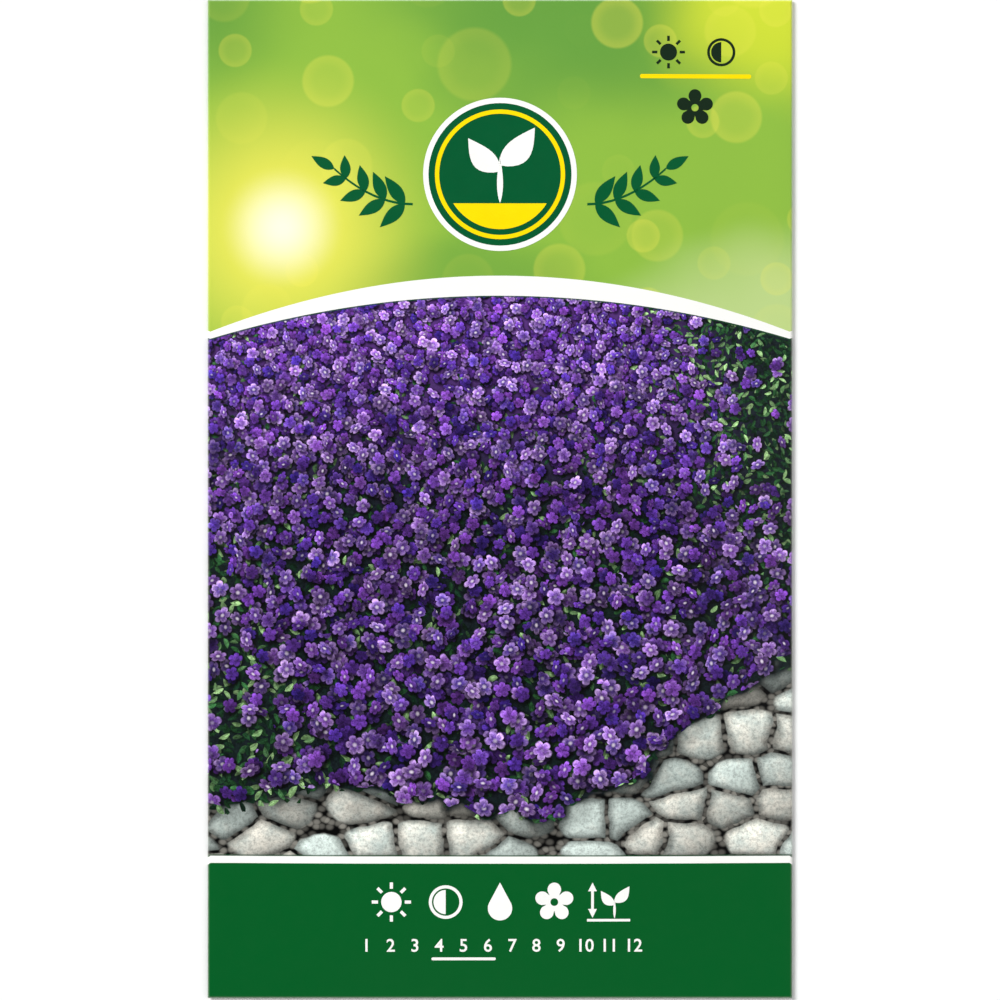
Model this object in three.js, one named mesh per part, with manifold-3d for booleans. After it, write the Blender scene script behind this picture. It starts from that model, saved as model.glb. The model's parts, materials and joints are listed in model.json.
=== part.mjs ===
// A closed paper seed packet that lies on its back with the printed front up.
// Millimetres, +Z up. The packet's top edge points to +Y and its printed front to +Z.
// The origin lies on the surface that carries the packet, under its middle.

import * as THREE from "three";
import { mergeVertices } from "three/addons/utils/BufferGeometryUtils.js";
import Module from "manifold-3d";

const wasm = await Module();
wasm.setup();

// Overall size of the filled packet
const WIDTH = 82;
const HEIGHT = 140;
const THICKNESS = 3;

// Sheet materials
const PAPER = 0.12;
const GLUE = 0.05;
const FOIL = 0.1;

// Tabs of the folded sheet, measured in from the packet's edges
const SIDE_TAB = 10;
const BOTTOM_TAB = 12;
const TOP_FLAP = 16;
const MITRE_INSET = 0.45;
const TAB_TAPER = 1.5;

// Glue strips: where they start and end as shares of a tab's depth, and the bare length left
// at their ends
const GLUE_NEAR = 0.3;
const GLUE_FAR = 0.8;
const GLUE_END_GAP = 2;

// Front panel: level of its rim and the powers that shape its crown
const RIM_LEVEL = 0.75;
const CROWN_POWER_X = 2.4;
const CROWN_POWER_Y = 3;

// Back panel: it steps up over the edge of each tab and stops short of the folds
const STEP_CLEARANCE = 0.6;
const STEP_RUN = 1.4;
const BACK_INSET_X = 0.4;
const BACK_INSET_Y = 0.5;

// Facets
const FRONT_CELL = 6;
const BACK_CELL = 9;
const ROW_CELL = 7;
const FOLD_STEPS = 6;

// Sealed inner sachet
const SACHET_WIDTH = 60;
const SACHET_HEIGHT = 90;
const SACHET_X = -3;
const SACHET_Y = -5;
const SEAL = 6;
const SACHET_DOME = 1.9;
const DOME_POWER = 2.6;
const DOME_ROWS = 12;
const PINKING_TEETH = 20;
const PINKING_DEPTH = 1.3;

// Seed heap inside the sachet
const SEED_LENGTH = 1.3;
const SEED_WIDTH = 1.05;
const SEED_THICKNESS = 0.56;
const SEED_TILT = 0.3;
const SEED_PITCH = 1;
const SEED_JITTER = 0.08;
const HEAP_X = -4;
const HEAP_Y = -30;
const HEAP_RADII = [4.4, 3.2];
const UPPER_HEAP_SHARE = 0.5;
const UPPER_LAYER_RISE = 0.36;

// Levels of the layers, from the resting surface up
const TAB_LEVEL = PAPER / 2;
const BACK_PLATEAU_LEVEL = PAPER / 2;
const BACK_RAISED_LEVEL = PAPER + GLUE + PAPER / 2;
const CROWN = THICKNESS - PAPER / 2 - RIM_LEVEL;
const FOLD_RADIUS = (RIM_LEVEL - TAB_LEVEL) / 2;
const FOLD_INSET = FOLD_RADIUS + PAPER / 2;
const PANEL_X = WIDTH / 2 - FOLD_INSET;
const PANEL_Y = HEIGHT / 2 - FOLD_INSET;

const UP = [0, 0, 1];
const DOWN = [0, 0, -1];

// A sheet is a list of points on its middle surface, each with the direction of its outer face,
// and triangles that join them.
function newSheet() {
  return { points: [], outward: [], triangles: [] };
}

function addPoint(sheet, position, outward) {
  sheet.points.push(position);
  sheet.outward.push(outward);
  return sheet.points.length - 1;
}

// Joins rows of point numbers into triangles. The outer face looks along row step x point step,
// or the other way when flipped.
function addPatch(sheet, rows, flipped = false) {
  for (let r = 0; r + 1 < rows.length; r++) {
    for (let p = 0; p + 1 < rows[r].length; p++) {
      const corners = [rows[r][p], rows[r + 1][p], rows[r + 1][p + 1], rows[r][p + 1]];
      if (flipped) corners.reverse();
      addTriangle(sheet, corners[0], corners[1], corners[2]);
      addTriangle(sheet, corners[0], corners[2], corners[3]);
    }
  }
}

function addTriangle(sheet, a, b, c) {
  sheet.triangles.push([a, b, c]);
}

// Edges that only one triangle uses, in that triangle's direction
function freeEdges(triangles) {
  const edges = new Map();
  for (const [a, b, c] of triangles) {
    for (const [from, to] of [[a, b], [b, c], [c, a]]) {
      if (!edges.delete(`${to},${from}`)) edges.set(`${from},${to}`, [from, to]);
    }
  }
  return [...edges.values()];
}

// Gives the sheet its thickness: two faces, and a cut edge all round
function thickenSheet(sheet, thickness) {
  const count = sheet.points.length;
  const half = thickness / 2;
  const positions = [];
  for (const side of [half, -half]) {
    sheet.points.forEach((point, i) => {
      positions.push(...point.map((value, axis) => value + side * sheet.outward[i][axis]));
    });
  }
  const index = [];
  for (const [a, b, c] of sheet.triangles) {
    index.push(a, b, c, c + count, b + count, a + count);
  }
  for (const [a, b] of freeEdges(sheet.triangles)) {
    index.push(b, a, a + count, b, a + count, b + count);
  }
  const geometry = new THREE.BufferGeometry();
  geometry.setAttribute("position", new THREE.Float32BufferAttribute(positions, 3));
  geometry.setIndex(index);
  return geometry;
}

function mix(from, to, share) {
  return from + (to - from) * share;
}

// Grid lines through all the stops, with cells of about the given size between them
function gridLines(stops, cell) {
  const lines = [stops[0]];
  for (let i = 0; i + 1 < stops.length; i++) {
    const cells = Math.max(1, Math.round((stops[i + 1] - stops[i]) / cell));
    for (let k = 1; k <= cells; k++) lines.push(mix(stops[i], stops[i + 1], k / cells));
  }
  return lines;
}

// Height of the front panel's middle surface
function frontLevel(x, y) {
  const acrossX = 1 - Math.pow(Math.abs(x) / PANEL_X, CROWN_POWER_X);
  const acrossY = 1 - Math.pow(Math.abs(y) / PANEL_Y, CROWN_POWER_Y);
  return RIM_LEVEL + CROWN * acrossX * acrossY;
}

// Places where the back panel steps up, just inside the free edge of each tab
const RAISED_RIGHT = WIDTH / 2 - SIDE_TAB - STEP_CLEARANCE;
const RAISED_BOTTOM = -HEIGHT / 2 + BOTTOM_TAB + STEP_CLEARANCE;
const RAISED_TOP = HEIGHT / 2 - TOP_FLAP - STEP_CLEARANCE;

function stepShare(distancePastStep) {
  return THREE.MathUtils.clamp(1 + distancePastStep / STEP_RUN, 0, 1);
}

// Height of the back panel's middle surface
function backLevel(x, y) {
  const right = stepShare(x - RAISED_RIGHT);
  const bottom = stepShare(RAISED_BOTTOM - y);
  const top = stepShare(y - RAISED_TOP);
  return mix(BACK_PLATEAU_LEVEL, BACK_RAISED_LEVEL, Math.max(right, bottom, top));
}

const BACK_X_LINES = gridLines(
  [-PANEL_X, RAISED_RIGHT - STEP_RUN, RAISED_RIGHT, PANEL_X - BACK_INSET_X],
  BACK_CELL,
);
const BACK_Y_END = PANEL_Y - BACK_INSET_Y;
const BACK_Y_LINES = gridLines(
  [-BACK_Y_END, RAISED_BOTTOM, RAISED_BOTTOM + STEP_RUN, RAISED_TOP - STEP_RUN, RAISED_TOP, BACK_Y_END],
  ROW_CELL,
);
const FRONT_X_LINES = gridLines([-PANEL_X, PANEL_X], FRONT_CELL);
const FRONT_Y_LINES = BACK_Y_LINES.map((y) => (y * PANEL_Y) / BACK_Y_END);

function foldAngles() {
  return Array.from({ length: FOLD_STEPS }, (_, k) => (Math.PI * (k + 1)) / FOLD_STEPS);
}

// Left fold: from the front panel's edge round to the back panel's edge, one row for each angle
function leftFoldRows(sheet) {
  return foldAngles().map((angle) =>
    FRONT_Y_LINES.map((frontY, j) => {
      const y = mix(frontY, BACK_Y_LINES[j], angle / Math.PI);
      const level = backLevel(-PANEL_X, BACK_Y_LINES[j]);
      const middle = (RIM_LEVEL + level) / 2;
      const z = middle + ((RIM_LEVEL - level) / 2) * Math.cos(angle);
      const outward = [-Math.sin(angle), 0, Math.cos(angle)];
      return addPoint(sheet, [-PANEL_X - FOLD_RADIUS * Math.sin(angle), y, z], outward);
    }),
  );
}

// Fold along the right, bottom or top edge, which ends at the level of the tabs and draws in
// towards its ends, to clear the fold round the corner. away is the plan direction out of the
// packet, along is the direction of the fold line.
function tabFoldRows(sheet, edgeDistance, away, along, lines) {
  const middle = (RIM_LEVEL + TAB_LEVEL) / 2;
  const reach = lines[lines.length - 1];
  return foldAngles().map((angle) => {
    const distance = edgeDistance + FOLD_RADIUS * Math.sin(angle);
    const z = middle + FOLD_RADIUS * Math.cos(angle);
    const drawnIn = 1 - (MITRE_INSET * angle) / Math.PI / reach;
    return lines.map((line) => {
      const across = line * drawnIn;
      const position = [
        away[0] * distance + along[0] * across,
        away[1] * distance + along[1] * across,
        z,
      ];
      const outward = [away[0] * Math.sin(angle), away[1] * Math.sin(angle), Math.cos(angle)];
      return addPoint(sheet, position, outward);
    });
  });
}

// Flat tab behind the back panel. Each row lies deeper in from the fold, between its two ends.
function tabRows(sheet, edgeDistance, away, along, lines, rowEnds) {
  const first = lines[0];
  const last = lines[lines.length - 1];
  return rowEnds.map(({ depth, low, high }) =>
    lines.map((line) => {
      const across = mix(low, high, (line - first) / (last - first));
      const distance = edgeDistance - depth;
      const x = away[0] * distance + along[0] * across;
      const y = away[1] * distance + along[1] * across;
      return addPoint(sheet, [x, y, TAB_LEVEL], DOWN);
    }),
  );
}

function frontPanelColumns(sheet) {
  return FRONT_X_LINES.map((x) =>
    FRONT_Y_LINES.map((y) => addPoint(sheet, [x, y, frontLevel(x, y)], UP)),
  );
}

function addLeftFoldAndBackPanel(sheet, frontColumns) {
  const fold = leftFoldRows(sheet);
  const back = BACK_X_LINES.slice(1).map((x) =>
    BACK_Y_LINES.map((y) => addPoint(sheet, [x, y, backLevel(x, y)], DOWN)),
  );
  addPatch(sheet, [frontColumns[0], ...fold, ...back], true);
}

// The side tab narrows at 45 degrees towards its free edge, to clear the other two tabs
function addSideTab(sheet, frontColumns) {
  const depth = SIDE_TAB - FOLD_INSET;
  const end = PANEL_Y - MITRE_INSET - depth;
  const fold = tabFoldRows(sheet, PANEL_X, [1, 0], [0, 1], FRONT_Y_LINES);
  const tab = tabRows(sheet, PANEL_X, [1, 0], [0, 1], FRONT_Y_LINES, [
    { depth, low: -end, high: end },
  ]);
  addPatch(sheet, [frontColumns[frontColumns.length - 1], ...fold, ...tab]);
}

// The bottom tab (side = -1) or the top flap (side = 1): tapered at the left, mitred at the right
function addEndTab(sheet, frontColumns, side, length) {
  const edge = frontColumns.map((column) => (side < 0 ? column[0] : column[column.length - 1]));
  const away = [0, side];
  const depth = length - FOLD_INSET;
  const mitreDepth = SIDE_TAB - FOLD_INSET;
  const mitreEnd = PANEL_X - MITRE_INSET - mitreDepth;
  const taper = (at) => -PANEL_X + MITRE_INSET + (TAB_TAPER * at) / depth;
  const fold = tabFoldRows(sheet, PANEL_Y, away, [1, 0], FRONT_X_LINES);
  const tab = tabRows(sheet, PANEL_Y, away, [1, 0], FRONT_X_LINES, [
    { depth: mitreDepth, low: taper(mitreDepth), high: mitreEnd },
    { depth, low: taper(depth), high: mitreEnd },
  ]);
  addPatch(sheet, [edge, ...fold, ...tab], side > 0);
}

// One folded sheet: front panel, left fold, back panel and the three glued tabs behind it
function paperEnvelope() {
  const sheet = newSheet();
  const frontColumns = frontPanelColumns(sheet);
  addPatch(sheet, frontColumns);
  addLeftFoldAndBackPanel(sheet, frontColumns);
  addSideTab(sheet, frontColumns);
  addEndTab(sheet, frontColumns, -1, BOTTOM_TAB);
  addEndTab(sheet, frontColumns, 1, TOP_FLAP);
  return thickenSheet(sheet, PAPER);
}

// A strip of adhesive between a tab and the back panel, given by its corners in plan
function glueStrip(left, bottom, right, top) {
  const strip = new THREE.BoxGeometry(right - left, top - bottom, GLUE);
  return strip.translate((left + right) / 2, (bottom + top) / 2, PAPER + GLUE / 2);
}

function sideTabGlue() {
  const reach = HEIGHT / 2 - SIDE_TAB - GLUE_END_GAP;
  const left = WIDTH / 2 - GLUE_FAR * SIDE_TAB;
  return glueStrip(left, -reach, WIDTH / 2 - GLUE_NEAR * SIDE_TAB, reach);
}

// Glue of the bottom tab (side = -1) or the top flap (side = 1)
function endTabGlue(side, length) {
  const left = -WIDTH / 2 + TAB_TAPER + GLUE_END_GAP;
  const right = WIDTH / 2 - SIDE_TAB - GLUE_END_GAP;
  const edges = [GLUE_NEAR, GLUE_FAR].map((share) => side * (HEIGHT / 2 - share * length));
  return glueStrip(left, Math.min(...edges), right, Math.max(...edges));
}

// Height of the front foil above the seal, which is zero all over the seal
function domeHeight(x, y) {
  const u = Math.min(Math.abs(x - SACHET_X) / (SACHET_WIDTH / 2 - SEAL), 1);
  const v = Math.min(Math.abs(y - SACHET_Y) / (SACHET_HEIGHT / 2 - SEAL), 1);
  return SACHET_DOME * (1 - Math.pow(u, DOME_POWER)) * (1 - Math.pow(v, DOME_POWER));
}

// Rows of a foil from end to end: one over each seal, which leaves room for the pinked teeth,
// and the given number between the seals
function sachetRows(domeRows) {
  const tooth = SACHET_HEIGHT / 2 - PINKING_DEPTH;
  const inner = SACHET_HEIGHT / 2 - SEAL;
  const dome = gridLines([SACHET_Y - inner, SACHET_Y + inner], (2 * inner) / domeRows);
  return [SACHET_Y - tooth, ...dome, SACHET_Y + tooth];
}

// Zigzag teeth cut along the sachet's two short ends
function addPinkedTeeth(sheet, columns, level) {
  const last = columns[0].length - 1;
  for (let i = 0; i + 1 < columns.length; i++) {
    for (const row of [0, last]) {
      const from = columns[i][row];
      const to = columns[i + 1][row];
      const side = row === 0 ? -1 : 1;
      const x = (sheet.points[from][0] + sheet.points[to][0]) / 2;
      const y = sheet.points[from][1] + side * PINKING_DEPTH;
      const tip = addPoint(sheet, [x, y, level], UP);
      if (side < 0) addTriangle(sheet, from, tip, to);
      else addTriangle(sheet, to, tip, from);
    }
  }
}

// One laminate of the sachet, pinked at its short ends
function sachetFoil(level, domeRows, heightAt) {
  const sheet = newSheet();
  const sides = [SACHET_X - SACHET_WIDTH / 2, SACHET_X + SACHET_WIDTH / 2];
  const columns = gridLines(sides, SACHET_WIDTH / PINKING_TEETH).map((x) =>
    sachetRows(domeRows).map((y) => addPoint(sheet, [x, y, level + heightAt(x, y)], UP)),
  );
  addPatch(sheet, columns);
  addPinkedTeeth(sheet, columns, level);
  return thickenSheet(sheet, FOIL);
}

function sachetBackFoil() {
  return sachetFoil(PAPER + FOIL / 2, 1, () => 0);
}

function sachetFrontFoil() {
  return sachetFoil(PAPER + FOIL + FOIL / 2, DOME_ROWS, domeHeight);
}

// Repeatable random numbers from 0 to 1
function seededRandom(seed) {
  let state = seed;
  return () => {
    state = (state * 1664525 + 1013904223) % 4294967296;
    return state / 4294967296;
  };
}

function toManifold(geometry) {
  const bare = geometry.clone();
  bare.deleteAttribute("normal");
  bare.deleteAttribute("uv");
  const merged = mergeVertices(bare);
  return new wasm.Manifold(
    new wasm.Mesh({
      numProp: 3,
      vertProperties: new Float32Array(merged.attributes.position.array),
      triVerts: new Uint32Array(merged.index.array),
    }),
  );
}

function fromManifold(solid) {
  const mesh = solid.getMesh();
  const geometry = new THREE.BufferGeometry();
  geometry.setAttribute("position", new THREE.BufferAttribute(mesh.vertProperties, 3));
  geometry.setIndex(new THREE.BufferAttribute(mesh.triVerts, 1));
  return geometry;
}

// One flat oval seed, turned and tilted a little, with its middle at the given height
function seed(x, y, z, random) {
  const grain = new THREE.IcosahedronGeometry(0.5, 0);
  grain.scale(SEED_LENGTH, SEED_WIDTH, SEED_THICKNESS);
  grain.rotateX((random() - 0.5) * SEED_TILT);
  grain.rotateY((random() - 0.5) * SEED_TILT);
  grain.rotateZ(random() * Math.PI);
  return grain.translate(x, y, z);
}

// Middle points of a hexagonal layer of seeds inside an oval of the given radii
function seedPlaces(radii, random) {
  const places = [];
  const rowPitch = SEED_PITCH * Math.sin(Math.PI / 3);
  const rows = Math.ceil(radii[1] / rowPitch);
  const columns = Math.ceil(radii[0] / SEED_PITCH) + 1;
  for (let row = -rows; row <= rows; row++) {
    for (let column = -columns; column <= columns; column++) {
      const x = (column + (row % 2 === 0 ? 0 : 0.5)) * SEED_PITCH;
      const y = row * rowPitch;
      if (Math.hypot(x / radii[0], y / radii[1]) > 1) continue;
      places.push([x + (random() - 0.5) * SEED_JITTER, y + (random() - 0.5) * SEED_JITTER]);
    }
  }
  return places;
}

// A settled heap of seeds, two layers deep in the middle, on the sachet's back foil
function seedHeap() {
  const random = seededRandom(7);
  const upperRadii = HEAP_RADII.map((radius) => radius * UPPER_HEAP_SHARE);
  const layers = [
    { radii: HEAP_RADII, rise: 0 },
    { radii: upperRadii, rise: UPPER_LAYER_RISE },
  ];
  const grains = layers.flatMap(({ radii, rise }) =>
    seedPlaces(radii, random).map(([x, y]) => seed(HEAP_X + x, HEAP_Y + y, rise, random)),
  );
  const heap = fromManifold(grains.map(toManifold).reduce((whole, grain) => whole.add(grain)));
  heap.computeBoundingBox();
  return heap.translate(0, 0, PAPER + FOIL - heap.boundingBox.min.z);
}

function coatedPaper() {
  return new THREE.MeshStandardMaterial({ color: 0x8fb844, roughness: 0.42, metalness: 0 });
}

function driedGlue() {
  return new THREE.MeshStandardMaterial({ color: 0xe6dfc8, roughness: 0.35, metalness: 0 });
}

function foilLaminate() {
  return new THREE.MeshStandardMaterial({ color: 0xc9ccce, roughness: 0.3, metalness: 0.85 });
}

function seedCoat() {
  return new THREE.MeshStandardMaterial({ color: 0x6a4326, roughness: 0.7, metalness: 0 });
}

function piece(name, geometry, material) {
  const mesh = new THREE.Mesh(geometry, material);
  mesh.name = name;
  return mesh;
}

const packet = new THREE.Group();
packet.add(
  piece("paper_envelope", paperEnvelope(), coatedPaper()),
  piece("side_seam_glue", sideTabGlue(), driedGlue()),
  piece("bottom_flap_glue", endTabGlue(-1, BOTTOM_TAB), driedGlue()),
  piece("top_flap_glue", endTabGlue(1, TOP_FLAP), driedGlue()),
  piece("sachet_back_foil", sachetBackFoil(), foilLaminate()),
  piece("sachet_front_foil", sachetFrontFoil(), foilLaminate()),
  piece("seeds", seedHeap(), seedCoat()),
);

export default packet;
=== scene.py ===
# A closed paper seed packet that lies on its back with the printed front up, on a pale floor.
# Metres, +Z up. The packet's top edge points to +Y. Sizes and places on the packet are in
# millimetres, counted from its middle.
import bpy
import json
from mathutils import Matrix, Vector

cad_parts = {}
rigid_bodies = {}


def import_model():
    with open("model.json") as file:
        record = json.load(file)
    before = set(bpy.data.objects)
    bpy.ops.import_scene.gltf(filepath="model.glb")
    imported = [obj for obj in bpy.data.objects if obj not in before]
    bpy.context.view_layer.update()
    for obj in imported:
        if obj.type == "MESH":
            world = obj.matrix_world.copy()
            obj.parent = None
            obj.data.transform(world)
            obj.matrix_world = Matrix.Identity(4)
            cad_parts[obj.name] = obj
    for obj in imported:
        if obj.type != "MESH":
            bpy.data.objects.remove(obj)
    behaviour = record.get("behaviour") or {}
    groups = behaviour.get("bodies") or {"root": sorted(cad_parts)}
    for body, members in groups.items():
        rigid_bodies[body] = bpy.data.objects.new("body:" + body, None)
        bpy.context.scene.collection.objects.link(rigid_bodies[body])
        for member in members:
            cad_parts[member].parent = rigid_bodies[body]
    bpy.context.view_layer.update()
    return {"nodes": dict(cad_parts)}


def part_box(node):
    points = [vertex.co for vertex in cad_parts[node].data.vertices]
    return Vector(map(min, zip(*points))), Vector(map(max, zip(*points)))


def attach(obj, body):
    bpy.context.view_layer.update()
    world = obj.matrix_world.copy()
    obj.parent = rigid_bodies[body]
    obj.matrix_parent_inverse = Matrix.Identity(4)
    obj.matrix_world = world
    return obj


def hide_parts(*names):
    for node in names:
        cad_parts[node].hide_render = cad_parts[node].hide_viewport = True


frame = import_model()

import json
import math
import random

import bpy
import bmesh
from mathutils import Matrix, Vector
from mathutils.geometry import tessellate_polygon

MM = 0.001
BODY = "root"
WIDTH, HEIGHT, THICKNESS = ((high - low) / MM for low, high in zip(*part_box("paper_envelope")))


def linear(*display):
    """Linear colour of an 8-bit display colour."""
    shares = [value / 255 for value in display]
    return tuple(s / 12.92 if s <= 0.04045 else ((s + 0.055) / 1.055) ** 2.4 for s in shares)


def operator(operation, swapped=False):
    """A method that does node arithmetic on a field and another value."""
    def result(field, other):
        pair = (other, field) if swapped else (field, other)
        return field.graph.math(operation, *pair)
    return result


class Field:
    """A number that varies over a surface: a node's output, with arithmetic."""

    def __init__(self, graph, socket):
        self.graph = graph
        self.socket = socket

    __add__ = __radd__ = operator("ADD")
    __mul__ = __rmul__ = operator("MULTIPLY")
    __sub__ = operator("SUBTRACT")
    __rsub__ = operator("SUBTRACT", swapped=True)
    __truediv__ = operator("DIVIDE")
    __rtruediv__ = operator("DIVIDE", swapped=True)
    __pow__ = operator("POWER")

    def __abs__(self):
        return self.graph.math("ABSOLUTE", self)


class Graph:
    """Adds nodes to a node tree. Numbers, fields and sockets mix freely in its calls."""

    def __init__(self, tree):
        self.tree = tree

    def feed(self, socket, value):
        if isinstance(value, Field):
            value = value.socket
        if isinstance(value, bpy.types.NodeSocket):
            self.tree.links.new(value, socket)
        elif isinstance(value, tuple) and socket.type == "RGBA":
            socket.default_value = (*value, 1.0)
        else:
            socket.default_value = value

    def node(self, kind, values=(), **settings):
        """A new shader node. Values feed its inputs in their order, or by key in a dict."""
        made = self.tree.nodes.new("ShaderNode" + kind)
        for name, setting in settings.items():
            setattr(made, name, setting)
        keyed = values if isinstance(values, dict) else dict(enumerate(values))
        for key, value in keyed.items():
            self.feed(made.inputs[key], value)
        return made

    def field(self, kind, values, **settings):
        return Field(self, self.node(kind, values, **settings).outputs[0])

    def math(self, operation, *values):
        return self.field("Math", values, operation=operation)

    def length(self, x, y):
        return self.math("SQRT", x * x + y * y)

    def direction(self, angle):
        return self.math("COSINE", angle), self.math("SINE", angle)

    def smooth(self, value, start, end, low=0.0, high=1.0):
        """Goes from low to high with soft ends as value goes from start to end."""
        values = (value, start, end, low, high)
        return self.field("MapRange", values, interpolation_type="SMOOTHSTEP")

    def mix(self, share, first, second, **settings):
        """Mix of two colours."""
        values = {0: share, 6: first, 7: second}
        return self.node("Mix", values, data_type="RGBA", **settings).outputs[2]

    def brighten(self, colour, factor):
        return self.mix(factor, (0.0, 0.0, 0.0), colour, clamp_factor=False)

    def scaled(self, vector, factor):
        return self.node("VectorMath", {0: vector, "Scale": factor}, operation="SCALE").outputs[0]

    def moved(self, vector, offset, sign=1.0):
        """Vector plus an offset, or minus it with a sign of -1."""
        values = (offset, (sign, sign, sign), vector)
        return self.node("VectorMath", values, operation="MULTIPLY_ADD").outputs[0]

    def turned(self, vector, angle, back=False):
        values = {"Vector": vector, "Angle": angle}
        made = self.node("VectorRotate", values, rotation_type="Z_AXIS", invert=back)
        return made.outputs[0]

    def point(self, x, y, z=0.0):
        return self.node("CombineXYZ", (x, y, z)).outputs[0]

    def split(self, vector, kind="SeparateXYZ"):
        return [Field(self, socket) for socket in self.node(kind, (vector,)).outputs]

    def channels(self, colour):
        return self.split(colour, "SeparateColor")

    def dice(self, place):
        """Three random numbers for a place."""
        made = self.node("TexWhiteNoise", (place,), noise_dimensions="3D")
        return self.channels(made.outputs["Color"])

    def noise(self, vector, scale, detail=2.0, roughness=0.5):
        values = {"Vector": vector, "Scale": scale, "Detail": detail, "Roughness": roughness}
        return self.field("TexNoise", values, noise_dimensions="3D")

    def voronoi(self, feature, vector, randomness, scale):
        values = {"Vector": vector, "Scale": scale, "Randomness": randomness}
        return self.node("TexVoronoi", values, voronoi_dimensions="2D", feature=feature).outputs

    def cells(self, vector, randomness, scale=1.0):
        """Flat random cells: distance to the cell's point, its random colour and its place."""
        distance, colour, place = self.voronoi("F1", vector, randomness, scale)[:3]
        return Field(self, distance), colour, place

    def cell_edge(self, vector, randomness, scale):
        """Distance to the nearest border of the same cells."""
        return Field(self, self.voronoi("DISTANCE_TO_EDGE", vector, randomness, scale)[0])


def new_layer(name, *titles):
    """A node group for a pattern laid over the colour Below. Its other inputs are numbers."""
    tree = bpy.data.node_groups.new(name, "ShaderNodeTree")
    for title in titles:
        kind = "NodeSocketColor" if title == "Below" else "NodeSocketFloat"
        tree.interface.new_socket(title, in_out="INPUT", socket_type=kind)
    tree.interface.new_socket("Colour", in_out="OUTPUT", socket_type="NodeSocketColor")
    graph = Graph(tree)
    entry = tree.nodes.new("NodeGroupInput")
    leave = tree.nodes.new("NodeGroupOutput")
    given = [Field(graph, s) if s.type == "VALUE" else s for s in entry.outputs if s.name]
    return tree, graph, given, leave.inputs["Colour"]


def add_layer(graph, tree, *values):
    return graph.node("Group", values, node_tree=tree).outputs[0]


# The printed picture: a bed of small violet blossoms edged with cobbles, seen from above and in
# front, so that the blossoms are larger towards the bottom
PICTURE_TOP = 30.0
PICTURE_BOTTOM = -52.0
PITCH_TOP = 2.0
PITCH_BOTTOM = 3.6
PITCH_LEAST = 0.6
PITCH_GROWTH = (PITCH_BOTTOM - PITCH_TOP) / (PICTURE_TOP - PICTURE_BOTTOM)

# Each layer of the pattern is turned and shifted by its seed times these
LAYER_TURN = 1.37
LAYER_SHIFT = (17.31, 9.73, 0.0)
FAR_BELOW = -10000.0

VIOLET_DEEP = linear(58, 36, 132)
VIOLET = linear(116, 62, 162)
LILAC = linear(186, 152, 212)
EYE = linear(234, 222, 238)
SHADE = linear(22, 13, 36)


def to_pattern(g, x, y):
    """Place in the pattern, where all cells are one unit wide."""
    pitch = g.math("MAXIMUM", PITCH_TOP + (PICTURE_TOP - y) * PITCH_GROWTH, PITCH_LEAST)
    return g.point(x / pitch, g.math("LOGARITHM", pitch, math.e) * (-1 / PITCH_GROWTH))


def from_pattern(g, place):
    """Place on the packet of a place in the pattern, and the pattern's spacing there."""
    across, up, _ = g.split(place)
    pitch = g.math("EXPONENT", up * -PITCH_GROWTH)
    y = PICTURE_TOP - (pitch - PITCH_TOP) / PITCH_GROWTH
    return across * pitch, y, pitch


def cell_of_layer(g, x, y, below, seed, density, randomness):
    """Nearest cell of one layer of the pattern: how far its middle is, in the layer's spacings,
    and its place in the pattern."""
    # The maximum is always x. It makes a layer wait for the one below, because a renderer that
    # works on all of them at once runs out of room for their values.
    x = g.math("MAXIMUM", x, g.channels(below)[0] + FAR_BELOW)
    turn = seed * LAYER_TURN
    shift = g.scaled(LAYER_SHIFT, seed)
    pattern = g.turned(g.scaled(to_pattern(g, x, y), density), turn)
    _, _, place = g.cells(g.moved(pattern, shift), randomness)
    home = g.turned(g.moved(place, shift, -1.0), turn, back=True)
    middle_x, middle_y, pitch = from_pattern(g, g.scaled(home, 1 / density))
    unit = pitch / density
    return (x - middle_x) / unit, (y - middle_y) / unit, place


PETALS = 5


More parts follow.
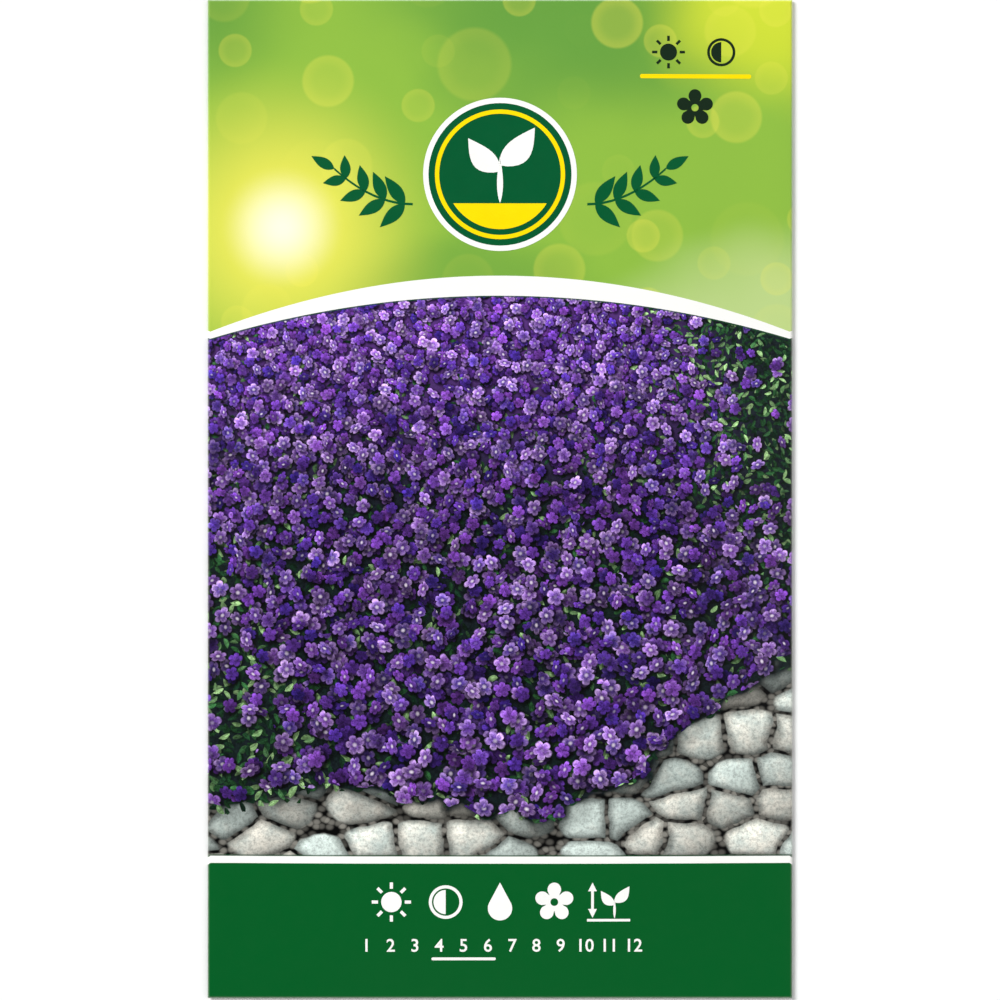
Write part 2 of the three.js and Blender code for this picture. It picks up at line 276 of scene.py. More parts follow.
def blossom_layer():
    """One layer of blossoms laid over the colour below."""
    tree, g, given, leave = new_layer(
        "blossom_layer", "X", "Y", "Below", "Seed", "Cover", "Light", "Grain")
    x, y, below, seed, cover, light, grain = given
    dx, dy, place = cell_of_layer(g, x, y, below, seed, 1.0, 0.65)
    chance, hue, tone = g.dice(place)
    turn, lean, highlight = g.dice(g.moved(place, (3.7, 1.9, 5.1)))

    # Foreshortening along another random direction
    nx, ny = g.direction(turn * 17.0)
    along = (dx * nx + dy * ny) * (lean * lean * 0.9)
    px = dx + nx * along
    py = dy + ny * along
    radius = 0.34 + 0.14 * highlight
    reach = g.length(px, py) / radius

    # Gap is 0 on a petal's axis and 1 between two petals
    petal = g.math("ARCTAN2", py, px) * (PETALS / math.tau) + turn * PETALS + PETALS
    gap = abs(g.math("FRACT", petal) - 0.5) * 2.0
    number = g.math("MODULO", g.math("FLOOR", petal), PETALS)
    key = g.dice(g.moved(place, g.point(number, 2.2)))
    outline = 1.0 - 0.36 * gap ** 3.0 - 0.16 * key[0]
    edge = reach / outline
    shape = g.smooth(edge, 1.08, 0.88)

    # Petal colour: paler rims, dark folds between petals, pale eye, light from the upper left
    violet = g.mix(hue, VIOLET_DEEP, VIOLET)
    pale = g.smooth(highlight, 0.35, 1.0) * (0.2 + 0.8 * g.smooth(edge, 0.35, 0.95))
    violet = g.mix(pale * (0.35 + 0.65 * key[2]), violet, LILAC)
    crease = 1.0 - 0.5 * g.smooth(gap, 0.5, 1.0) * g.smooth(edge, 1.0, 0.3)
    slope = 1.0 + 0.5 * (py * 0.8 - px * 0.5) / radius
    tint = (0.4 + 1.0 * tone) * (0.7 + 0.6 * key[1]) * (0.75 + 0.45 * edge * edge)
    petals = g.brighten(violet, tint * crease * slope * light * grain)
    eye = g.smooth(reach, 0.30, 0.05) * g.smooth(lean + highlight, 0.7, 1.5)
    petals = g.mix(eye * 0.9, petals, g.brighten(EYE, 0.3 + 0.6 * light))

    # Soft shadow on what lies below, towards the lower right
    shadow = g.smooth(g.length(px - 0.05, py + 0.09) / radius, 1.45, 0.75)
    here = g.math("LESS_THAN", chance, cover)
    shaded = g.brighten(below, 1.0 - shadow * here * 0.75)
    g.feed(leave, g.mix(shape * here, shaded, petals))
    return tree


LEAF_DARK = linear(14, 40, 26)
LEAF = linear(44, 92, 50)
LEAF_PALE = linear(138, 172, 116)
LEAF_REACH = 0.52


def leaf_layer():
    """One layer of small leaves laid over the colour below."""
    tree, g, given, leave = new_layer(
        "leaf_layer", "X", "Y", "Below", "Seed", "Density", "Cover", "Light")
    x, y, below, seed, density, cover, light = given
    dx, dy, place = cell_of_layer(g, x, y, below, seed, density, 0.75)
    chance, hue, tone = g.dice(place)
    turn, width, _ = g.dice(g.moved(place, (1.7, 4.9, 2.1)))
    ux, uy = g.direction(turn * math.tau)
    along = (dx * ux + dy * uy) / LEAF_REACH
    across = (dy * ux - dx * uy) / (0.15 + 0.09 * width)
    bend = across + along * along * 0.5
    outline = 1.0 - along * along - 0.25 * along
    shape = g.smooth(abs(bend) - outline, 0.12, -0.12) * g.math("LESS_THAN", abs(along), 1.0)
    rib = g.smooth(abs(bend), 0.22, 0.04) * 0.35
    side = 1.0 + 0.35 * g.smooth(bend, -0.15, 0.15)
    green = g.mix(hue * hue, LEAF_DARK, LEAF)
    green = g.mix(g.smooth(tone, 0.6, 1.0) * 0.7, green, LEAF_PALE)
    leaf = g.brighten(green, (0.5 + 0.9 * tone) * side * (1.0 + rib) * light)
    here = g.math("LESS_THAN", chance, cover) * shape
    g.feed(leave, g.mix(here, below, leaf))
    return tree


STONE = linear(188, 200, 194)
STONE_WARM = linear(218, 214, 202)
COBBLE = 7.6
GRIT = 1.1


def stones(g, x, y):
    """Round cobbles bedded in grit, lit from the upper left."""
    warp = g.noise(g.point(x, y), 0.2, 2.0) - 0.5
    u = x + warp * 2.4
    v = y * 1.5 - warp * 2.0
    bed = g.point(u, v)
    distance, key, middle = g.cells(bed, 0.8, 1 / COBBLE)
    edge = g.cell_edge(bed, 0.8, 1 / COBBLE)
    tone, hue, _ = g.channels(key)
    middle_u, middle_v, _ = g.split(middle)
    slope = 1.0 + ((v - middle_v) * 0.8 - (u - middle_u) * 0.45) / COBBLE

    speckle = g.noise(g.point(x, y), 1.9, 3.0, 0.85)
    blotch = g.noise(g.point(x, y), 0.4, 4.0, 0.65)
    face = g.mix(g.smooth(hue * 0.6 + blotch, 0.6, 1.2), STONE, STONE_WARM)
    shade = (0.72 + 0.40 * tone) * (0.55 + 0.9 * blotch) * slope
    shade = shade * (0.65 + 0.5 * g.smooth(speckle, 0.30, 0.60))
    shade = shade * (0.35 + 0.65 * g.smooth(edge, 0.03, 0.24))
    shade = shade * g.smooth(distance, 0.95, 0.35, 0.55, 1.0)
    grit, grit_key, _ = g.cells(g.point(x, y * 1.3), 1.0, 1 / GRIT)
    grit_shade = (0.05 + 0.30 * g.channels(grit_key)[0]) * g.smooth(grit, 0.7, 0.2)
    cover = g.smooth(edge, 0.03, 0.06) * g.smooth(distance, 0.68, 0.60)
    return g.mix(cover, g.brighten(STONE_WARM, grit_shade), g.brighten(face, shade))


# Edge of the bed: its foot, the rise along the right side, and its waves
BED_FOOT = -43.0
BED_RISE = 19.0
BED_RISE_START = 2.0
BED_RISE_END = 46.0
BED_WAVE = 2.2
BED_RAGGED = 9.0


def bed_edge(g, x, y):
    """Above 0 inside the bed of blossoms, below 0 on the cobbles, in millimetres."""
    ragged = (g.noise(g.point(x, y, 3.0), 0.16, 2.0) - 0.5) * BED_RAGGED
    wave = BED_WAVE * g.math("SINE", x * 0.09 + 0.6)
    rise = BED_RISE * g.smooth(x, BED_RISE_START, BED_RISE_END)
    return y - BED_FOOT + wave - rise + ragged


# White bow between the blurred garden and the picture, and the straight foot band
BOW_TOP = 31.2
BOW_TOP_BEND = 0.0047
BOW_FOOT = 28.4
BOW_FOOT_BEND = 0.0036
FOOT_TOP = -51.0
FOOT_RULE = 1.0
FOOT_GREEN = linear(0, 89, 35)
WHITE_INK = linear(246, 246, 242)
RULE_GREEN = linear(30, 74, 46)

# Seed, density and light of the layers of leaves, from the bottom up
LEAF_LAYERS = ((1.0, 2.1, 0.40), (2.0, 1.7, 0.65), (3.0, 1.9, 1.05))
BLOSSOM_LAYERS = 5
FIRST_BLOSSOM_SEED = 11.0


def picture(g, x, y):
    """A bed of violet blossoms with green leaves in its gaps, and pale cobbles at its foot."""
    blossoms = blossom_layer()
    leaves = leaf_layer()
    inside = bed_edge(g, x, y)
    clumps = g.noise(g.point(x, y, 7.0), 0.20, 2.0)
    hollows = g.noise(g.point(x, y, 11.0), 0.075, 2.0)
    haze = g.smooth(y, -4.0, 28.0)
    grain = g.noise(g.point(x, y, 5.0), 2.7, 2.0, 0.65)
    grain = (0.36 + 1.28 * g.smooth(grain, 0.2, 0.8)) * (1.0 + 0.3 * haze)

    # Foliage: thick at the upper right and lower left, thin elsewhere
    upper_right = g.smooth(x + 0.35 * y, 20.0, 44.0) * g.smooth(y, -16.0, 2.0)
    lower_left = g.smooth(x + 0.4 * y, -36.0, -47.0) * g.smooth(y, 6.0, -10.0)
    foliage = g.math("MAXIMUM", upper_right, lower_left * 0.7)
    ground = g.mix(g.noise(g.point(x, y), 0.5, 3.0), SHADE, LEAF_DARK)
    ground = g.mix(haze * (1.0 - foliage) * 0.5, g.brighten(ground, 0.8 * grain), VIOLET)
    overhung = 1.0 - 0.5 * g.smooth(inside, -4.5, -0.5)
    drawn = g.mix(g.smooth(inside, -1.2, 0.6), g.brighten(stones(g, x, y), overhung), ground)
    thin = 0.45 * g.smooth(inside, -1.0, 1.0) * (1.0 - 0.6 * haze)
    cover = thin + foliage * g.smooth(inside, -2.0, 1.0) * 1.2
    for seed, density, light in LEAF_LAYERS:
        drawn = add_layer(g, leaves, x, y, drawn, seed, density, cover, light * grain)

    # Blossoms, layer upon layer, each brighter than the one below
    cover = (0.46 + 0.66 * clumps + 0.22 * haze) * g.smooth(inside, -0.3, 2.2)
    cover = cover * (1.0 - 0.86 * foliage)
    lit = 0.72 + 0.6 * hollows + 0.14 * haze
    for step in range(BLOSSOM_LAYERS):
        light = (0.42 + 0.155 * step) * lit + haze * (0.36 - 0.07 * step)
        seed = FIRST_BLOSSOM_SEED + step
        drawn = add_layer(g, blossoms, x, y, drawn, seed, cover, light, grain)
    to_bow = BOW_FOOT - BOW_FOOT_BEND * x * x - y
    to_rule = y - (FOOT_TOP + FOOT_RULE)
    border = g.smooth(g.math("MINIMUM", to_bow, to_rule), 0.28, 0.12)
    return g.mix(border * 0.8, drawn, RULE_GREEN)


FIELD_GREEN = linear(140, 184, 66)
FIELD_DEEP = linear(92, 150, 62)
FIELD_LIME = linear(204, 218, 56)
FIELD_YELLOW = linear(244, 234, 92)
FIELD_PALE = linear(190, 212, 140)
SUN_WHITE = linear(255, 255, 240)
SUN_X = -30.5
SUN_Y = 38.0

# Soft patches of the garden: middle, reach sideways and up, strength and colour
GARDEN_PATCHES = (
    (10.0, 68.0, 34.0, 20.0, 0.85, FIELD_DEEP),
    (46.0, 76.0, 34.0, 26.0, 1.0, FIELD_LIME),
    (-46.0, 74.0, 24.0, 20.0, 0.8, FIELD_DEEP),
    (40.0, 22.0, 34.0, 16.0, 0.9, FIELD_PALE),
    (-2.0, 30.0, 24.0, 9.0, 0.5, FIELD_DEEP),
)

# Discs of light: spacing, seed and strength
LIGHT_DISCS = ((9.0, 5.0, 0.22), (14.0, 3.0, 0.26), (20.0, 8.0, 0.20))


def blurred_garden(g, x, y):
    """Out-of-focus garden: soft patches of green and yellow, discs of light, a hazy low sun."""
    sway = g.noise(g.point(x, y, 1.0), 0.035, 2.0) - 0.5
    u = x + sway * 26.0
    v = y + sway * 22.0

    colour = FIELD_GREEN
    for middle_x, middle_y, reach_x, reach_y, strength, tint in GARDEN_PATCHES:
        dx = (u - middle_x) / reach_x
        dy = (v - middle_y) / reach_y
        colour = g.mix(g.smooth(dx * dx + dy * dy, 1.0, 0.0) * strength, colour, tint)
    for size, seed, strength in LIGHT_DISCS:
        place = g.turned(g.point(x + seed * 7.7, y + seed * 3.1), seed)
        distance, key, _ = g.cells(place, 0.45, 1.0 / size)
        rim = g.smooth(distance, 0.275, 0.24) * (0.6 + 0.4 * g.smooth(distance, 0.12, 0.25))
        chosen = g.smooth(g.channels(key)[0], 0.45, 1.0)
        colour = g.mix(rim * chosen * strength, colour, FIELD_YELLOW)
    reach = g.length(x - SUN_X, y - SUN_Y)
    colour = g.mix(g.smooth(reach, 25.0, 2.0) * 0.85, colour, FIELD_YELLOW)
    return g.mix(g.smooth(reach, 9.0, 0.0) * 0.8, colour, SUN_WHITE)


WORN_INK = linear(232, 234, 224)
COATING_GLOSS = 0.13
GRAIN_DEPTH = 0.01


class Finish(Graph):
    """A material and its node graph, with its place in millimetres from the packet's middle."""

    def __init__(self, name):
        self.material = bpy.data.materials.new(name)
        self.material.use_nodes = True
        super().__init__(self.material.node_tree)
        self.shader = self.tree.nodes["Principled BSDF"]
        self.place = self.scaled(self.node("TexCoord").outputs["Object"], 1 / MM)
        self.x, self.y, self.z = self.split(self.place)

    def surface(self, colour, roughness, gloss=0.5):
        self.feed(self.shader.inputs["Base Color"], colour)
        self.feed(self.shader.inputs["Roughness"], roughness)
        self.feed(self.shader.inputs["Specular IOR Level"], gloss)

    def relief(self, height, depth):
        """Small bumps, as deep as depth in millimetres."""
        made = self.node("Bump", {"Height": height, "Distance": depth * MM})
        self.feed(self.shader.inputs["Normal"], made.outputs[0])

    def fold_wear(self):
        """Above 0 where the print has gone pale, along the folds and at the corners."""
        to_side = WIDTH / 2 - abs(self.x)
        to_end = HEIGHT / 2 - abs(self.y)
        near = self.smooth(self.math("MINIMUM", to_side, to_end), 0.30, 0.02)
        uneven = 0.10 + 0.30 * self.noise(self.point(self.x, self.y), 0.8, 4.0, 0.7)
        corner = self.smooth(to_side + to_end, 0.8, 0.1)
        return self.math("MAXIMUM", near * uneven, corner * 0.2)


def coated(finish, colour):
    """Semi-gloss coating with a fine grain over a colour."""
    finish.surface(colour, 0.28 + 0.12 * finish.noise(finish.place, 0.6, 3.0), COATING_GLOSS)
    finish.relief(finish.noise(finish.place, 5.0, 3.0, 0.6), GRAIN_DEPTH)
    return finish.material


def printed(name, ink):
    """Coated paper printed with a colour or with what a function draws."""
    f = Finish(name)
    art = ink(f, f.x, f.y) if callable(ink) else ink
    return coated(f, f.mix(f.fold_wear(), art, WORN_INK))


def ink_material(name, colour):
    """Printing ink on the coated paper, with a slightly uneven density."""
    f = Finish(name)
    return coated(f, f.brighten(colour, 0.94 + 0.12 * f.noise(f.place, 0.35, 3.0)))


def printed_back():
    """Back of the packet: pale paper with a faint tint and grain."""
    f = Finish("printed_back")
    fleck = f.noise(f.place, 2.2, 4.0, 0.7)
    paper = f.mix(f.noise(f.place, 0.08, 3.0), linear(236, 238, 222), linear(226, 233, 208))
    paper = f.mix(f.smooth(fleck, 0.62, 0.78) * 0.25, paper, linear(196, 200, 176))
    worn = f.mix(f.fold_wear() * 0.6, paper, linear(246, 246, 240))
    f.surface(worn, 0.5 + 0.2 * fleck, 0.3)
    f.relief(f.noise(f.place, 5.0, 4.0, 0.6), GRAIN_DEPTH)
    return f.material


def raw_paper():
    """Unprinted inside and cut edges."""
    f = Finish("raw_paper")
    f.surface(linear(238, 236, 226), 0.75 + 0.15 * f.noise(f.place, 3.0, 3.0), 0.25)
    return f.material


def glue_film():
    """Dried adhesive: slightly yellow, with streaks and small bubbles."""
    f = Finish("glue_film")
    streak = f.noise(f.point(f.x, f.y * 0.2, f.z), 1.4, 3.0)
    bubble = f.smooth(f.cells(f.point(f.x, f.y), 1.0, 0.9)[0], 0.22, 0.08)
    tone = f.mix(streak, linear(244, 238, 214), linear(226, 214, 176))
    f.surface(f.mix(bubble * 0.5, tone, linear(252, 250, 240)), 0.34 + 0.25 * streak)
    f.relief(streak - bubble * 0.6, 0.02)
    return f.material


# The sachet in the packet, whose outline shows faintly in the front
SACHET_X = -3.0
SACHET_Y = -5.0
SACHET_WIDTH = 60.0
SACHET_HEIGHT = 90.0
SEAL = 6.0
WAFFLE = 4.4


def foil_laminate():
    """Satin metal laminate: creases in the middle, a waffle pressed into the seal."""
    f = Finish("foil_laminate")
    to_side = SACHET_WIDTH / 2 - abs(f.x - SACHET_X)
    to_end = SACHET_HEIGHT / 2 - abs(f.y - SACHET_Y)
    sealed = f.smooth(f.math("MINIMUM", to_side, to_end), SEAL + 0.2, SEAL - 0.2)
    waffle = f.math("SINE", (f.x + f.y) * WAFFLE) * f.math("SINE", (f.x - f.y) * WAFFLE)
    crease = f.cell_edge(f.point(f.x, f.y * 0.8), 1.0, 0.16)
    fold = f.smooth(crease, 0.0, 0.22) + 0.5 * f.noise(f.point(f.x, f.y), 0.35, 3.0)
    haze = f.noise(f.place, 0.9, 4.0, 0.7)
    colour = f.mix(haze, linear(196, 199, 202), linear(232, 234, 236))
    f.surface(colour, 0.26 + 0.16 * haze + 0.08 * sealed)
    f.shader.inputs["Metallic"].default_value = 0.92
    f.relief(fold * (1.0 - sealed) + waffle * sealed * 0.35, 0.25)
    return f.material


def seed_coat():
    """Matt brown seed coat with fine pits, which are darkened in colour as painted shade."""
    f = Finish("seed_coat")
    tone = f.smooth(f.noise(f.place, 0.9, 1.0), 0.3, 0.7)
    pit = f.noise(f.place, 7.0, 3.0, 0.7)
    brown = f.mix(tone, linear(92, 58, 34), linear(148, 100, 60))
    # The pits, the low parts of the relief, are darker in colour: painted shade in the hollows.
    f.surface(f.mix(f.smooth(pit, 0.5, 0.3) * 0.6, brown, linear(52, 30, 18)), 0.55 + 0.3 * pit)
    f.relief(pit, 0.06)
    return f.material


# The folded sheet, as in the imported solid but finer
PAPER = 0.12
GLUE = 0.05
SIDE_TAB = 10.0
BOTTOM_TAB = 12.0
TOP_FLAP = 16.0
MITRE_INSET = 0.45
TAB_TAPER = 1.5
RIM_LEVEL = 0.75
CROWN_POWER_X = 2.4
CROWN_POWER_Y = 3.0
STEP_CLEARANCE = 0.6
STEP_RUN = 1.4
BACK_INSET_X = 0.4
BACK_INSET_Y = 0.5
CELL = 1.2
FOLD_STEPS = 12
TUCK_START = 0.65 * math.pi

TAB_LEVEL = PAPER / 2
BACK_RAISED_LEVEL = PAPER + GLUE + PAPER / 2
CROWN = THICKNESS - PAPER / 2 - RIM_LEVEL
FOLD_RADIUS = (RIM_LEVEL - TAB_LEVEL) / 2
FOLD_INSET = FOLD_RADIUS + PAPER / 2
PANEL_X = WIDTH / 2 - FOLD_INSET
PANEL_Y = HEIGHT / 2 - FOLD_INSET
RAISED_RIGHT = WIDTH / 2 - SIDE_TAB - STEP_CLEARANCE
RAISED_BOTTOM = -HEIGHT / 2 + BOTTOM_TAB + STEP_CLEARANCE
RAISED_TOP = HEIGHT / 2 - TOP_FLAP - STEP_CLEARANCE


def mix(start, end, share):
    return start + (end - start) * share


def soft_step(value, start, end):
    share = max(0.0, min(1.0, (value - start) / (end - start)))
    return share * share * (3 - 2 * share)


def grid_lines(stops):
    """Lines through all the stops, with cells of about the usual size between them."""
    lines = [stops[0]]
    for start, end in zip(stops, stops[1:]):
        cells = max(1, round((end - start) / CELL))
        lines += [mix(start, end, k / cells) for k in range(1, cells + 1)]
    return lines


def make_ripples(seed, count, shortest, longest):
    """Random plane waves as (wave number x, wave number y, phase, share)."""
    draw = random.Random(seed)
    waves = []
    for _ in range(count):
        length = draw.uniform(shortest, longest)
        angle = draw.uniform(0, math.pi)
        wave = math.tau / length
        waves.append((wave * math.cos(angle), wave * math.sin(angle), draw.uniform(0, math.tau),
                      length / longest))
    return waves


BROAD_RIPPLES = make_ripples(4, 7, 24.0, 60.0)
FINE_RIPPLES = make_ripples(9, 9, 7.0, 16.0)
BROAD_DEPTH = 0.45
FINE_DEPTH = 0.08
RIDGE_HEIGHT = 0.07
RIDGE_REACH = 1.6
RIPPLE_BORDER = 0.86


def ripple(waves, x, y):
    heights = [share * math.sin(kx * x + ky * y + phase) for kx, ky, phase, share in waves]
    return sum(heights) / len(waves)


def front_level(x, y):
    """Height of the front's middle surface: a crown with slight buckles and the faint outline
    of the sachet inside."""
    u = min(abs(x) / PANEL_X, 1.0)
    v = min(abs(y) / PANEL_Y, 1.0)
    crown = (1 - u ** CROWN_POWER_X) * (1 - v ** CROWN_POWER_Y)
    inner = 1 - soft_step(max(u, v), RIPPLE_BORDER, 1.0)
    buckle = BROAD_DEPTH * ripple(BROAD_RIPPLES, x, y) + FINE_DEPTH * ripple(FINE_RIPPLES, x, y)
    past_sachet = max(abs(x - SACHET_X) - SACHET_WIDTH / 2, abs(y - SACHET_Y) - SACHET_HEIGHT / 2)
    ridge = RIDGE_HEIGHT * math.exp(-(past_sachet / RIDGE_REACH) ** 2)
    level = RIM_LEVEL + CROWN * crown + inner * (buckle + ridge)
    return min(level, RIM_LEVEL + CROWN)


def back_level(x, y):
    """Height of the back's middle surface, which steps up over the tabs' edges."""
    right = soft_step(x, RAISED_RIGHT - STEP_RUN, RAISED_RIGHT)
    bottom = soft_step(-y, -RAISED_BOTTOM - STEP_RUN, -RAISED_BOTTOM)
    top = soft_step(y, RAISED_TOP - STEP_RUN, RAISED_TOP)
    return mix(TAB_LEVEL, BACK_RAISED_LEVEL, max(right, bottom, top))


# Borders of the print: their tops, rises towards the middle and heights at the packet's sides
PRINT_TOPS = [FOOT_TOP, FOOT_TOP + FOOT_RULE, BOW_FOOT, BOW_TOP]
PRINT_RISES = [0.0, 0.0, BOW_FOOT_BEND * PANEL_X ** 2, BOW_TOP_BEND * PANEL_X ** 2]
PRINT_BORDERS = [top - rise for top, rise in zip(PRINT_TOPS, PRINT_RISES)]

BACK_X_LINES = grid_lines([-PANEL_X, RAISED_RIGHT - STEP_RUN, RAISED_RIGHT, PANEL_X - BACK_INSET_X])
BACK_Y_END = PANEL_Y - BACK_INSET_Y
BACK_STEPS = [RAISED_BOTTOM, RAISED_BOTTOM + STEP_RUN, RAISED_TOP - STEP_RUN, RAISED_TOP]
FRONT_Y_STOPS = [-PANEL_Y, PANEL_Y, *PRINT_BORDERS, *(y * PANEL_Y / BACK_Y_END for y in BACK_STEPS)]
FRONT_X_LINES = grid_lines([-PANEL_X, PANEL_X])
FRONT_Y_LINES = grid_lines(sorted(FRONT_Y_STOPS))
BACK_Y_LINES = [y * BACK_Y_END / PANEL_Y for y in FRONT_Y_LINES]
FOLD_ANGLES = [math.pi * (k + 1) / FOLD_STEPS for k in range(FOLD_STEPS)]


def past_edge(z, low):
    """How far a fold from the rim down to the level low bulges out at height z. The ends of the
    fold beside it go as far, so that the two meet in a square corner."""
    drop = (RIM_LEVEL - z) / (RIM_LEVEL - low)
    return 2 * FOLD_INSET * math.sqrt(max(drop * (1 - drop), 0.0))


def tucked(angle):
    """Goes from 0 to 1 over a fold's last part, whose ends are drawn in."""
    return soft_step(angle, TUCK_START, math.pi)


def row_rise(y):
    """How far a grid row of the front rises towards the middle, to follow the print's borders."""
    stops = [(-PANEL_Y, 0.0), *zip(PRINT_BORDERS, PRINT_RISES), (PANEL_Y, 0.0)]
    for (start, low_rise), (end, high_rise) in zip(stops, stops[1:]):
        if y <= end:
            return mix(low_rise, high_rise, (y - start) / (end - start))
    return 0.0


# Slots of the sheet's materials. The front has five, from the foot up to the garden.
FOOT, GARDEN, BACK_PRINT, RAW = 0, 4, 5, 6
FRONT_SLOTS = [
    sum(y > border for border in PRINT_BORDERS)
    for y in ((low + high) / 2 for low, high in zip(FRONT_Y_LINES, FRONT_Y_LINES[1:]))
]

FOLD_LENGTH = math.pi * FOLD_RADIUS
MAP_MARGIN = 0.5
MAP_SIDE = 2 * (PANEL_Y + FOLD_LENGTH + MAP_MARGIN)
BESIDE_FRONT = 2 * (PANEL_X + FOLD_LENGTH + MAP_MARGIN) + MAP_MARGIN
BACK_SCALE = 0.6
INSIDE_SCALE = 0.25
FRONT_ISLAND = (MAP_MARGIN + FOLD_LENGTH + PANEL_X, MAP_SIDE / 2, 1.0)
BACK_ISLAND = (
    BESIDE_FRONT + BACK_SCALE * WIDTH / 2, MAP_MARGIN + BACK_SCALE * HEIGHT / 2, BACK_SCALE)
INSIDE_ISLAND = (
    BESIDE_FRONT + INSIDE_SCALE * WIDTH / 2, MAP_SIDE - INSIDE_SCALE * HEIGHT, INSIDE_SCALE)


def on_map(island, x, y):
    """Place in the flat map of a point of an island, given by its origin and scale."""
    left, bottom, scale = island
    return (left + x * scale) / MAP_SIDE, (bottom + y * scale) / MAP_SIDE


class Sheet:
    """A folded sheet, given by its middle surface: points with the direction of the outer face,
    and four-sided faces with the flat place of each corner."""

    def __init__(self):
        self.points = []
        self.outward = []
        self.faces = []

    def add(self, position, outward, flat):
        self.points.append(position)
        self.outward.append(outward)
        return len(self.points) - 1, flat

    def patch(self, rows, island, slots, flipped=False):
        """Joins rows of points. Each point is its number and its flat place. Slots is one slot
        or a slot for each step along a row."""
        if isinstance(slots, int):
            slots = [slots] * len(rows[0])
        for row, after in zip(rows, rows[1:]):
            for k in range(len(row) - 1):
                corners = [row[k], after[k], after[k + 1], row[k + 1]]
                if flipped:
                    corners.reverse()
                numbers = [number for number, _ in corners]
                places = [on_map(island, *flat) for _, flat in corners]
                self.faces.append((numbers, places, slots[k]))

    def free_edges(self):
        """Edges that only one face uses, in that face's direction."""
        edges = set()
        for numbers, _, _ in self.faces:
            for start, end in zip(numbers, numbers[1:] + numbers[:1]):
                if (end, start) in edges:
                    edges.remove((end, start))
                else:
                    edges.add((start, end))
        return sorted(edges)

    def thickened(self, name, thickness):
        """A closed mesh with an outer face, an inner face and cut edges between them."""
        count = len(self.points)
        corners = []
        for side in (thickness / 2, -thickness / 2):
            corners += [Vector(p) + side * Vector(o) for p, o in zip(self.points, self.outward)]
        inside = [on_map(INSIDE_ISLAND, *point[:2]) for point in self.points]
        faces, places, slots = [], [], []
        for numbers, flat, slot in self.faces:
            faces += [numbers, [n + count for n in reversed(numbers)]]
            places += flat + [inside[n] for n in reversed(numbers)]
            slots += [slot, RAW]
        for start, end in self.free_edges():
            faces.append([end, start, start + count, end + count])
            places += [inside[n] for n in (end, start, start, end)]
            slots.append(RAW)
        mesh = bpy.data.meshes.new(name)
        mesh.from_pydata([corner * MM for corner in corners], [], faces)
        layer = mesh.uv_layers.new(name="OFBake")
        for loop, place in zip(layer.uv, places):
            loop.vector = place
        mesh.polygons.foreach_set("material_index", slots)
        mesh.shade_smooth()
        mesh.set_sharp_from_angle(angle=math.radians(40))
        return mesh


UP = (0.0, 0.0, 1.0)
DOWN = (0.0, 0.0, -1.0)


def left_fold(sheet):
    rows = []
    for angle in FOLD_ANGLES:
        row = []
        for front_y, back_y in zip(FRONT_Y_LINES, BACK_Y_LINES):
            level = back_level(-PANEL_X, back_y)
            z = mix(RIM_LEVEL, level, (1 - math.cos(angle)) / 2)
            squared_y = front_y * (1 + past_edge(z, TAB_LEVEL) / PANEL_Y)
            y = mix(squared_y, back_y, tucked(angle))
            place = (-PANEL_X - FOLD_RADIUS * math.sin(angle), y, z)
            flat = (-PANEL_X - FOLD_RADIUS * angle, front_y)
            row.append(sheet.add(place, (-math.sin(angle), 0.0, math.cos(angle)), flat))
        rows.append(row)
    return rows


def plan_row(sheet, row):
    """The same points with their places in plan as their flat places."""
    return [(number, sheet.points[number][:2]) for number, _ in row]


def add_flap(sheet, rim, edge, away, along, lines, beside, tab_ends, slots):
    """Fold along the right, bottom or top edge of the front, and the flat tab behind the back
    panel. The fold next to its low end goes down to the level beside. Tab_ends are the tab's rows
    as (depth from the fold, low end, high end)."""
    spans = []
    for angle in FOLD_ANGLES:
        z = mix(RIM_LEVEL, TAB_LEVEL, (1 - math.cos(angle)) / 2)
        inset = MITRE_INSET * tucked(angle)
        low_end = lines[0] - past_edge(z, beside) + inset
        high_end = lines[-1] + past_edge(z, TAB_LEVEL) - inset
        spans.append((angle, z, 0.0, low_end, high_end))
    spans += [(math.pi, TAB_LEVEL, *ends) for ends in tab_ends]

    rows = []
    for angle, z, depth, low_end, high_end in spans:
        out = edge + FOLD_RADIUS * math.sin(angle) - depth
        unrolled = edge + FOLD_RADIUS * angle
        outward = (away[0] * math.sin(angle), away[1] * math.sin(angle), math.cos(angle))
        row = []
        for line in lines:
            across = mix(low_end, high_end, (line - lines[0]) / (lines[-1] - lines[0]))
            x, y = (a * out + b * across for a, b in zip(away, along))
            flat = tuple(a * unrolled + b * line for a, b in zip(away, along))
            row.append(sheet.add((x, y, z), outward, flat))
        rows.append(row)
    flipped = away[1] > 0
    sheet.patch([rim, *rows[:FOLD_STEPS]], FRONT_ISLAND, slots, flipped)
    tab = [plan_row(sheet, row) for row in rows[FOLD_STEPS - 1:]]
    sheet.patch(tab, BACK_ISLAND, BACK_PRINT, flipped)


